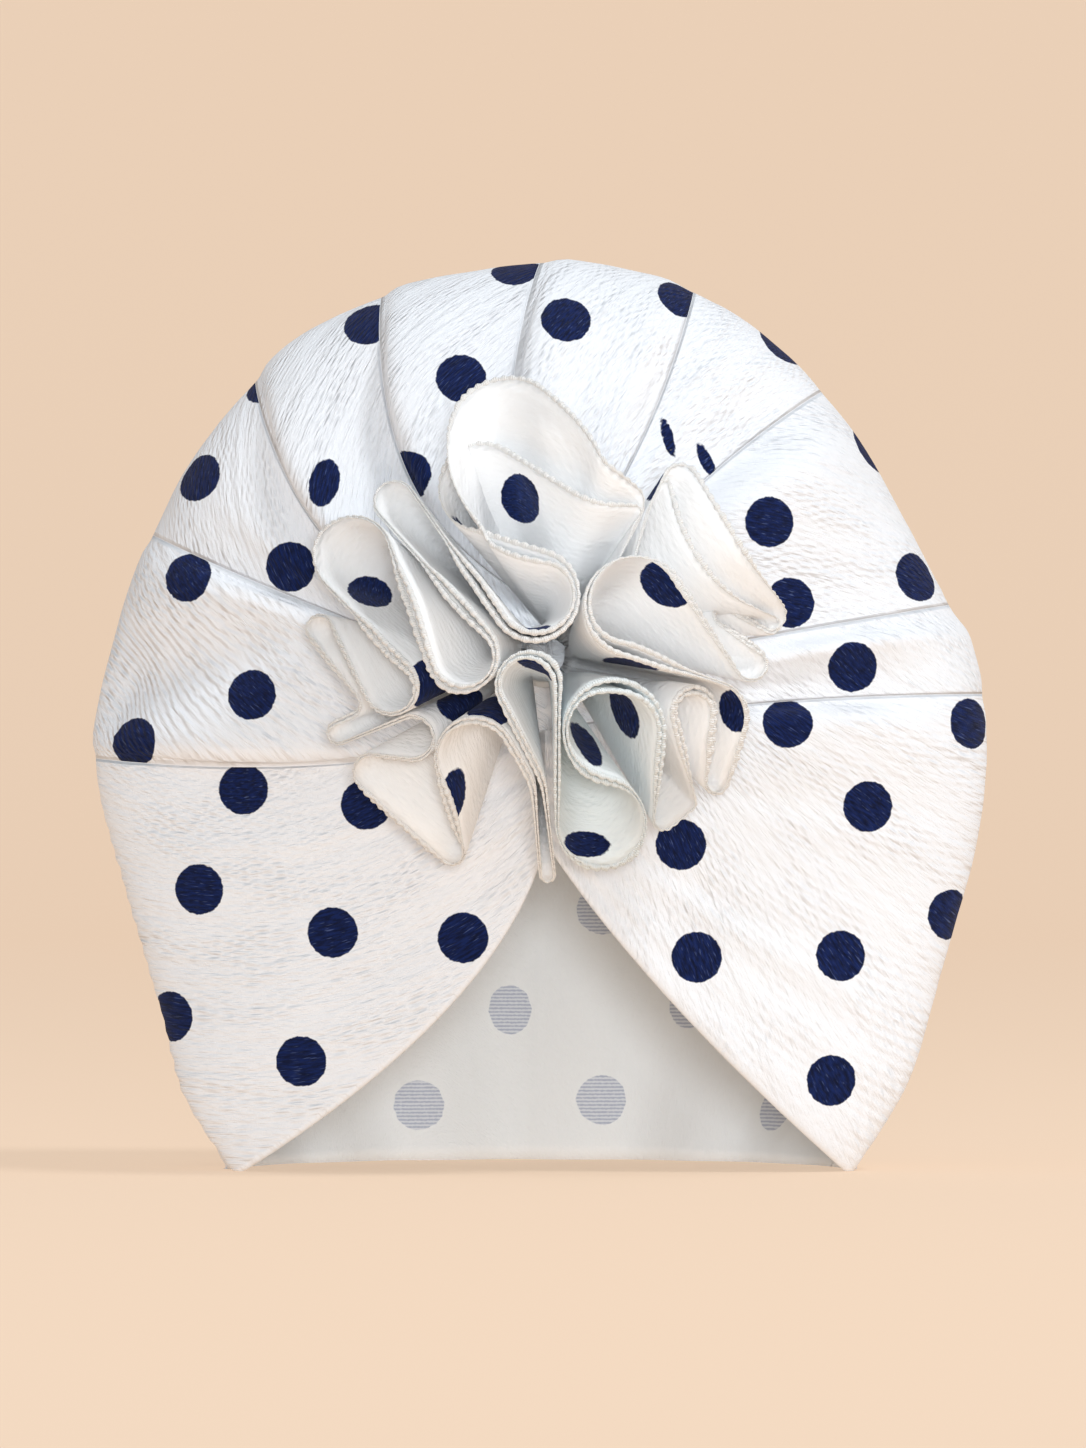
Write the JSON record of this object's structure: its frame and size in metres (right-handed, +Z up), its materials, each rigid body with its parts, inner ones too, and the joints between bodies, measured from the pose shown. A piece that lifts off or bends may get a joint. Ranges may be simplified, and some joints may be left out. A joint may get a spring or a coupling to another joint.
{
  "type": "baby turban hat",
  "caption": "Soft pleated baby turban hat with a gathered ruffle flower at the front, a V-shaped face opening and an open hem.",
  "frame": {"origin": "on the surface that the hat stands on, under the middle of its box", "axes": "+Z up to the crown, -Y out of the face opening and the flower, +X to the picture's right"},
  "size_m": [0.1792, 0.1296, 0.1814],
  "materials": {
    "cap_knit": "matte ribbed white knit with navy polka dots",
    "ruffle_knit": "matte off-white knit with navy polka dots and overlocked edges"
  },
  "bodies": {
    "root": {"cap_body": "cap_knit", "ruffle_front_ply": "ruffle_knit", "ruffle_back_ply": "ruffle_knit"}
  },
  "joints": []
}
